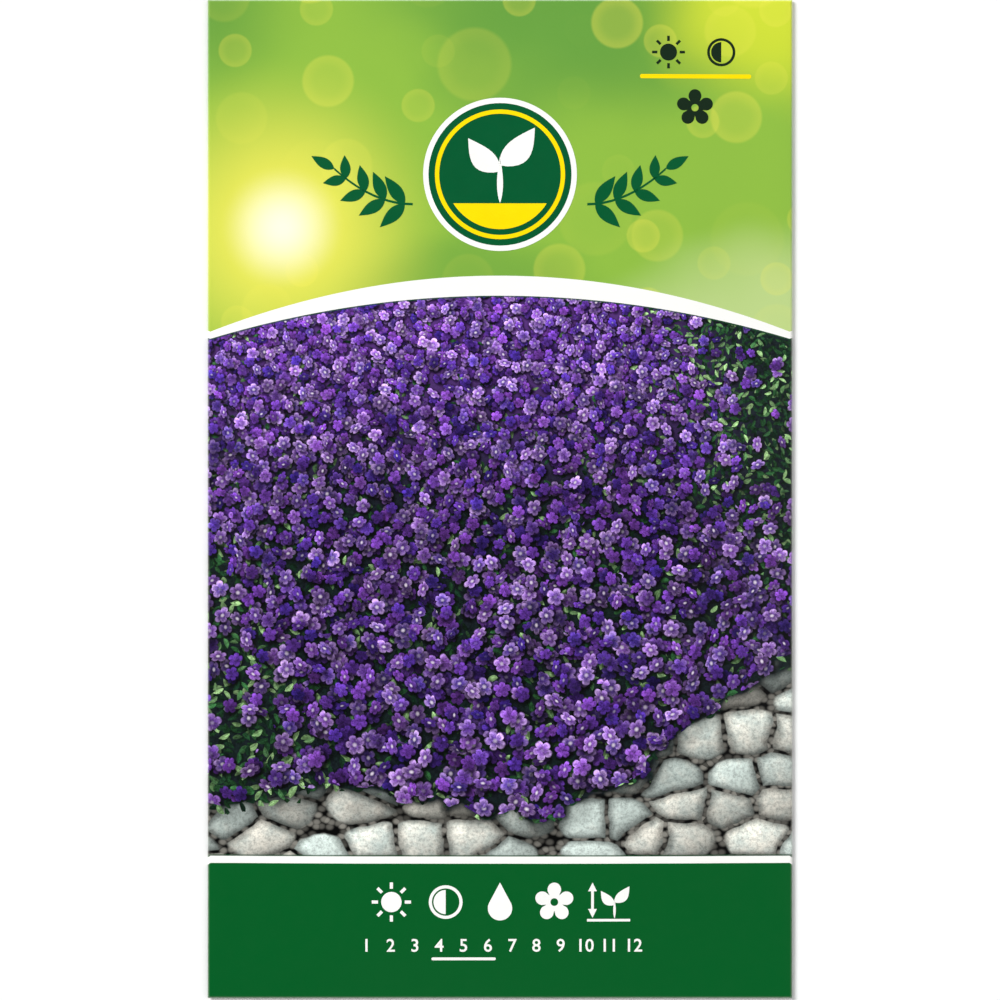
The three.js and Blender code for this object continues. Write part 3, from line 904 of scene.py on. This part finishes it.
def envelope_sheet():
    """One folded sheet: front panel, folds, back panel and the three glued tabs behind it."""
    sheet = Sheet()
    front = []
    for x in FRONT_X_LINES:
        rise = 1 - (x / PANEL_X) ** 2
        heights = [y + rise * row_rise(y) for y in FRONT_Y_LINES]
        front.append([sheet.add((x, y, front_level(x, y)), UP, (x, y)) for y in heights])
    sheet.patch(front, FRONT_ISLAND, FRONT_SLOTS)

    fold = left_fold(sheet)
    sheet.patch([front[0], *fold], FRONT_ISLAND, FRONT_SLOTS, flipped=True)
    back = [
        [sheet.add((x, y, back_level(x, y)), DOWN, (x, y)) for y in BACK_Y_LINES]
        for x in BACK_X_LINES[1:]
    ]
    sheet.patch([plan_row(sheet, fold[-1]), *back], BACK_ISLAND, BACK_PRINT, flipped=True)

    depth = SIDE_TAB - FOLD_INSET
    tab_end = PANEL_Y - MITRE_INSET - depth
    ends = [(depth, -tab_end, tab_end)]
    up = (0, 1)
    right = (1, 0)
    add_flap(sheet, front[-1], PANEL_X, right, up, FRONT_Y_LINES, TAB_LEVEL, ends, FRONT_SLOTS)
    for side, length, slot in ((-1, BOTTOM_TAB, FOOT), (1, TOP_FLAP, GARDEN)):
        rim = [column[0] if side < 0 else column[-1] for column in front]
        end_depth = length - FOLD_INSET
        mitre_end = PANEL_X - MITRE_INSET - depth
        left_end = MITRE_INSET - PANEL_X
        ends = [
            (depth, left_end + TAB_TAPER * depth / end_depth, mitre_end),
            (end_depth, left_end + TAB_TAPER, mitre_end),
        ]
        away = (0, side)
        add_flap(sheet, rim, PANEL_Y, away, right, FRONT_X_LINES, BACK_RAISED_LEVEL, ends, slot)
    return sheet


def new_object(name, data):
    made = bpy.data.objects.new(name, data)
    bpy.context.collection.objects.link(made)
    return made


def place_piece(name, mesh, materials, slot, *nodes):
    """Puts a mesh in the scene as a piece of the packet, in the place of any nodes named."""
    for material in materials:
        mesh.materials.append(material)
    piece = new_object(name, mesh)
    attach(piece, BODY)
    if nodes:
        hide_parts(*nodes)


# Just under the packet, whose back print stands out from the paper by less than this
FLOOR_LEVEL = -0.03 * MM
FLOOR_REACH = 20.0

# The photograph is this many pixels high, and the packet in it starts at its top row
PHOTO_HEIGHT = 1000
PACKET_IN_PHOTO = 998
LENS = 150.0

# Lamps: name, place, strength and apparent width in degrees
LAMPS = (
    ("key", (-0.65, 0.50, 0.70), 3.1, 28),
    ("fill", (0.70, 0.10, 0.70), 0.8, 60),
    ("front", (0.0, -0.80, 0.60), 0.68, 60),
)


def studio():
    """Pale floor, soft light from all round and a camera straight above the front."""
    scene = bpy.context.scene
    scene.view_settings.view_transform = "Standard"

    mesh = bpy.data.meshes.new("floor")
    signs = ((-1, -1), (1, -1), (1, 1), (-1, 1))
    corners = [(FLOOR_REACH * x, FLOOR_REACH * y, FLOOR_LEVEL) for x, y in signs]
    mesh.from_pydata(corners, [], [(0, 1, 2, 3)])
    f = Finish("floor_sweep")
    f.surface((0.92, 0.92, 0.92), 0.7 + 0.1 * f.noise(f.place, 0.03), 0.2)
    mesh.materials.append(f.material)
    floor = new_object("floor", mesh)

    # Walls that are brighter than the ceiling, which the packet's coating would mirror
    world = bpy.data.worlds.new("studio")
    world.use_nodes = True
    g = Graph(world.node_tree)
    height = g.split(g.node("TexCoord").outputs["Generated"])[2]
    background = g.tree.nodes["Background"]
    g.feed(background.inputs["Color"], (1.0, 1.0, 1.0))
    g.feed(background.inputs["Strength"], g.smooth(abs(height), 0.03, 0.5, 0.85, 0.12))
    scene.world = world

    for name, place, strength, softness in LAMPS:
        light = bpy.data.lights.new(name, "SUN")
        light.angle = math.radians(softness)
        light.energy = strength
        lamp = new_object(name, light)
        lamp.location = place
        lamp.rotation_euler = Vector(place).to_track_quat("Z", "Y").to_euler()

    seen_height = HEIGHT * MM * PHOTO_HEIGHT / PACKET_IN_PHOTO
    camera = bpy.data.cameras.new("camera")
    camera.lens = LENS
    camera.clip_start = 0.01
    distance = seen_height * LENS / camera.sensor_width
    viewer = new_object("camera", camera)
    viewer.location = (0.0, (HEIGHT * MM - seen_height) / 2, distance + RIM_LEVEL * MM / 2)
    scene.camera = viewer


def circle(cx, cy, radius, corners):
    return arc(cx, cy, radius, 0.0, math.tau, corners)[:-1]


def arc(cx, cy, radius, start, end, steps):
    """Points on a circle between two angles, counted anticlockwise from the right."""
    angles = [mix(start, end, k / steps) for k in range(steps + 1)]
    return [(cx + radius * math.cos(angle), cy + radius * math.sin(angle)) for angle in angles]


def bar(start, end, width):
    """Straight line of a width, as an outline."""
    along = Vector(end) - Vector(start)
    side = Vector((-along.y, along.x)).normalized() * width / 2
    corners = ((start, -side), (end, -side), (end, side), (start, side))
    return [Vector(place) + offset for place, offset in corners]


def frame_box(x0, y0, x1, y1, radius):
    """Rectangle with round corners."""
    outline = []
    for x, y, turn in ((x1, y0, -0.25), (x1, y1, 0.0), (x0, y1, 0.25), (x0, y0, 0.5)):
        cx = x - math.copysign(radius, x - (x0 + x1) / 2)
        cy = y - math.copysign(radius, y - (y0 + y1) / 2)
        outline += arc(cx, cy, radius, turn * math.tau, (turn + 0.25) * math.tau, 5)
    return outline


LEAF_STEPS = 12


def leaf(base, tip, width, bend=0.0):
    """Pointed leaf between two places; bend bows it to its left."""
    base = Vector(base)
    along = Vector(tip) - base
    side = Vector((-along.y, along.x)).normalized()
    left, right = [], []
    for k in range(LEAF_STEPS + 1):
        share = k / LEAF_STEPS
        half = width / 2 * math.sin(math.pi * share ** 0.8)
        middle = base + along * share + side * bend * math.sin(math.pi * share)
        left.append(middle + side * half)
        right.append(middle - side * half)
    return right + left[-2:0:-1]


class Ink:
    """Flat shapes printed in one colour."""

    def __init__(self):
        self.bm = bmesh.new()

    def fill(self, *outlines):
        """An outline, and holes in it."""
        loops = [[Vector((x, y, 0.0)) for x, y in outline] for outline in outlines]
        points = [self.bm.verts.new(point) for loop in loops for point in loop]
        for corners in tessellate_polygon(loops):
            a, b, c = (points[k].co for k in corners)
            area = (b - a).cross(c - a).z
            if abs(area) > 1e-7:
                self.bm.faces.new([points[k] for k in (corners if area > 0 else reversed(corners))])

    def stamp(self, sign, x=0.0, y=0.0, size=1.0):
        for shape in placed(sign, x, y, size):
            self.fill(*shape)

    def number(self, value, x, y, size):
        curve = bpy.data.curves.new("number", "FONT")
        curve.body = str(value)
        curve.size = size
        curve.offset = 0.012 * size
        curve.align_x = curve.align_y = "CENTER"
        curve.resolution_u = 3
        text = bpy.data.objects.new("number", curve)
        mesh = bpy.data.meshes.new_from_object(text)
        points = [self.bm.verts.new(v.co + Vector((x, y, 0.0))) for v in mesh.vertices]
        for face in mesh.polygons:
            self.bm.faces.new([points[k] for k in face.vertices])
        bpy.data.batch_remove((text, curve, mesh))

    def piece(self, name, material, level, back=False):
        """Lays the shapes on the front, or on the back as it is seen from behind, cut along a
        grid to follow the paper."""
        bm = self.bm
        ranges = []
        for axis in (0, 1):
            values = [v.co[axis] for v in bm.verts]
            low, high = min(values), max(values)
            ranges.append((low, high - low))
            normal = Vector((axis == 0, axis == 1, 0))
            for step in range(math.ceil(low / CELL), math.floor(high / CELL) + 1):
                everything = bm.verts[:] + bm.edges[:] + bm.faces[:]
                bmesh.ops.bisect_plane(
                    bm, geom=everything, dist=1e-5, plane_co=normal * step * CELL, plane_no=normal)
        lows, sizes = zip(*ranges)
        layer = bm.loops.layers.uv.new("OFBake")
        for face in bm.faces:
            for loop in face.loops:
                loop[layer].uv = (loop.vert.co.xy - Vector(lows)) / max(sizes)
        for vert in bm.verts:
            x, y, _ = vert.co
            if back:
                x = -x
                z = back_level(x, y) - PAPER / 2 - level
            else:
                z = front_level(x, y) + PAPER / 2 + level
            vert.co = Vector((x, y, z)) * MM
        mesh = bpy.data.meshes.new(name)
        bm.to_mesh(mesh)
        bm.free()
        mesh.shade_smooth()
        place_piece(name, mesh, [material], "coated_paper")


def placed(sign, x, y, size):
    """A sign of unit size at a place. It is a list of shapes, each an outline and its holes."""
    return [
        [[(x + size * u, y + size * v) for u, v in outline] for outline in shape]
        for shape in sign
    ]


def arrow(start, end, width):
    """Double arrow between two places."""
    start, end = Vector(start), Vector(end)
    along = (end - start).normalized()
    side = Vector((-along.y, along.x))
    head = width * 3.2
    shapes = [[bar(start + along * head * 0.9, end - along * head * 0.9, width)]]
    for tip, way in ((start, along), (end, -along)):
        foot = tip + way * head
        shapes.append([[tip, foot + side * head * 0.5, foot - side * head * 0.5]])
    return shapes


def flower():
    """Round petals about an open eye."""
    outline = []
    steps = PETALS * 14
    for k in range(steps):
        angle = k * math.tau / steps
        reach = 0.42 + 0.58 * abs(math.cos(angle * PETALS / 2)) ** 0.55
        outline.append((reach * math.sin(angle), reach * math.cos(angle)))
    return [[outline, circle(0, 0, 0.2, 14)]]


RAYS = zip(circle(0, 0, 0.68, 8), circle(0, 0, 1, 8))
SUN = [[circle(0, 0, 0.52, 28)], *([bar(start, end, 0.16)] for start, end in RAYS)]
HALF_SUN = [
    [circle(0, 0, 0.86, 36), circle(0, 0, 0.70, 36)],
    [arc(0, 0, 0.62, math.pi / 2, math.pi * 1.5, 18)],
]
DROP = [[[*arc(0, -0.32, 0.62, math.radians(-205), math.radians(25), 24), (0, 1)]]]
FLOWER = flower()
SPROUT = [
    [leaf((0, 0), (0, 0.62), 0.08)],
    [leaf((0, 0.42), (-0.42, 0.86), 0.30, 0.05)],
    [leaf((0, 0.50), (0.46, 1), 0.33, -0.05)],
]
GROWN = [
    *arrow((-0.82, -0.8), (-0.82, 1), 0.14),
    *placed(SPROUT, 0.3, -0.85, 1.65),
    [bar((-1.1, -0.93), (1.1, -0.93), 0.13)],
]


def sign_row(ink, x, y, pitch, size):
    """Sun, half shade, water, flower and height."""
    for place, sign in enumerate((SUN, HALF_SUN, DROP, FLOWER, GROWN), -2):
        ink.stamp(sign, x + place * pitch, y, size)


SPRIG_PAIRS = 4
SPRIG_SPREAD = 0.85


def sprig(ink, cx, cy, side):
    """Leafy twig that leads away from the emblem."""
    def stem(share):
        return Vector((cx + side * (12.2 + 11.0 * share), cy - 4.2 + 5.0 * share * share))

    half = Vector((0.0, 0.17))
    line = [stem(k / 10) for k in range(11)]
    ink.fill([place + half for place in line] + [place - half for place in reversed(line)])
    for k in range(SPRIG_PAIRS):
        share = 0.10 + 0.25 * k
        base = stem(share)
        along = (stem(share + 0.01) - base).normalized()
        for turn in (SPRIG_SPREAD, -SPRIG_SPREAD):
            way = Matrix.Rotation(turn, 2) @ along
            ink.fill(leaf(base, base + way * (5.0 - 2.0 * share), 1.9 - 0.5 * share))
    ink.fill(leaf(stem(1.0), stem(1.0) + Vector((side * 3.2, 1.8)), 1.5))


LOW_INK = 0.02
HIGH_INK = 0.035
MONTHS = 12


def front_ink(inks):
    """Emblem, corner signs and foot signs."""
    cx, cy, r = 0.0, 45.4, 10.0
    ground, white_parts, yellow_parts, sprigs = Ink(), Ink(), Ink(), Ink()
    ground.fill(circle(cx, cy, r, 96))
    white_parts.fill(circle(cx, cy, r + 0.75, 96), circle(cx, cy, r, 96))
    yellow_parts.fill(circle(cx, cy, r - 0.9, 96), circle(cx, cy, r - 1.5, 96))
    yellow_parts.fill(arc(cx, cy, r - 2.3, math.radians(-148), math.radians(-32), 30))
    white_parts.stamp(SPROUT, cx, cy - 4.05, 10.6)
    for side in (-1, 1):
        sprig(sprigs, cx, cy, side)
    ground.piece("emblem_ground", inks["green"], LOW_INK)
    white_parts.piece("emblem_sprout", inks["white"], HIGH_INK)
    yellow_parts.piece("emblem_ring", inks["yellow"], HIGH_INK)
    sprigs.piece("emblem_sprigs", inks["green"], LOW_INK)

    signs, rule = Ink(), Ink()
    signs.stamp(SUN, 23.6, 62.6, 2.3)
    signs.stamp(HALF_SUN, 31.0, 62.6, 2.3)
    rule.fill(frame_box(19.6, 58.9, 35.2, 59.5, 0.25))
    signs.stamp(FLOWER, 27.3, 54.8, 2.6)
    signs.piece("corner_signs", inks["dark"], LOW_INK)
    rule.piece("corner_rule", inks["yellow"], LOW_INK)

    foot = Ink()
    sign_row(foot, 0.0, -56.4, 7.6, 2.75)
    pitch = 3.4
    for month in range(1, MONTHS + 1):
        foot.number(month, (month - 6.5) * pitch, -62.6, 2.55)
    foot.fill(frame_box(-2.5 * pitch - 1.1, -64.6, -0.5 * pitch + 1.1, -64.2, 0.18))
    foot.piece("foot_signs", inks["white"], LOW_INK)


def back_ink(inks):
    """Sowing guide on the back, drawn as it is seen from behind."""
    panels, lines, bars, blooms, signs = Ink(), Ink(), Ink(), Ink(), Ink()
    left, right = -25.5, 35.5
    middle = (left + right) / 2
    panels.fill(frame_box(left, 37.0, right, 47.0, 1.5))
    sign_row(signs, middle, 42.0, 11.0, 3.1)

    # Blank fields with a thin frame
    line = 0.25
    for low, high in ((20.5, 33.5), (-50.5, -36.5)):
        hole = frame_box(left + line, low + line, right - line, high - line, 1.3)
        lines.fill(frame_box(left, low, right, high, 1.5), hole)

    # Months, with a bar each for sowing, planting out and flowering
    foot, row_height = -1.0, 4.4
    pitch = (right - left) / MONTHS
    for month in range(1, MONTHS + 1):
        lines.number(month, left + (month - 0.5) * pitch, 14.6, 3.3)
    for k in range(MONTHS + 1):
        x = left + k * pitch
        lines.fill(bar((x, foot), (x, foot + 3 * row_height), 0.14))
    for k in range(4):
        y = foot + k * row_height
        lines.fill(bar((left, y), (right, y), 0.14))
    for ink, row, start, end in ((bars, 2, 2, 6), (bars, 1, 5, 8.5), (blooms, 0, 3, 5.5)):
        low = foot + row * row_height + 0.7
        ink.fill(frame_box(left + start * pitch, low, left + end * pitch, low + 3.0, 0.8))

    # Depth of sowing on the left, distance between plants on the right
    ground = -17.0
    for x0, x1 in ((left, middle - 2.0), (middle + 2.0, right)):
        lines.fill(bar((x0, ground), (x1, ground), 0.4))
        panels.fill(frame_box(x0, -30.5, x1, ground - 0.6, 1.0))
    for k in range(5):
        x = left + 6.0 + 3.4 * k
        signs.fill(leaf((x, -21.2), (x + 1.6, -20.6), 0.9))
    signs.stamp(arrow((left + 3.2, ground - 0.9), (left + 3.2, -21.6), 0.35))
    plants = (middle + 8.0, right - 6.0)
    for x in plants:
        lines.stamp(SPROUT, x, ground, 8.4)
        blooms.stamp(FLOWER, x, -6.2, 1.6)
    signs.stamp(arrow((plants[0], -20.5), (plants[1], -20.5), 0.4))

    panels.piece("back_panels", inks["green"], LOW_INK / 2, back=True)
    lines.piece("back_lines", inks["green"], LOW_INK, back=True)
    bars.piece("back_sowing_bars", inks["lime"], LOW_INK / 2, back=True)
    blooms.piece("back_flower_bar", inks["violet"], LOW_INK / 2, back=True)
    signs.piece("back_signs", inks["white"], LOW_INK, back=True)


def dress(material, *nodes):
    """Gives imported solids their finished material."""
    for node in nodes:
        solid = frame["nodes"][node]
        solid.data.materials.clear()
        solid.data.materials.append(material)


studio()
sheet_materials = [
    printed("printed_foot", FOOT_GREEN),
    printed("printed_rule", WHITE_INK),
    printed("printed_picture", picture),
    printed("printed_bow", WHITE_INK),
    printed("printed_garden", blurred_garden),
    printed_back(),
    raw_paper(),
]
sheet_mesh = envelope_sheet().thickened("packet_sheet", PAPER)
place_piece("packet_sheet", sheet_mesh, sheet_materials, "coated_paper", "paper_envelope")
ink_colours = {
    "white": WHITE_INK,
    "green": linear(0, 86, 46),
    "yellow": linear(252, 220, 0),
    "dark": linear(20, 40, 24),
    "lime": linear(150, 196, 60),
    "violet": linear(112, 76, 160),
}
inks = {name: ink_material(f"{name}_ink", colour) for name, colour in ink_colours.items()}
front_ink(inks)
back_ink(inks)
dress(glue_film(), "side_seam_glue", "bottom_flap_glue", "top_flap_glue")
dress(foil_laminate(), "sachet_back_foil", "sachet_front_foil")
dress(seed_coat(), "seeds")
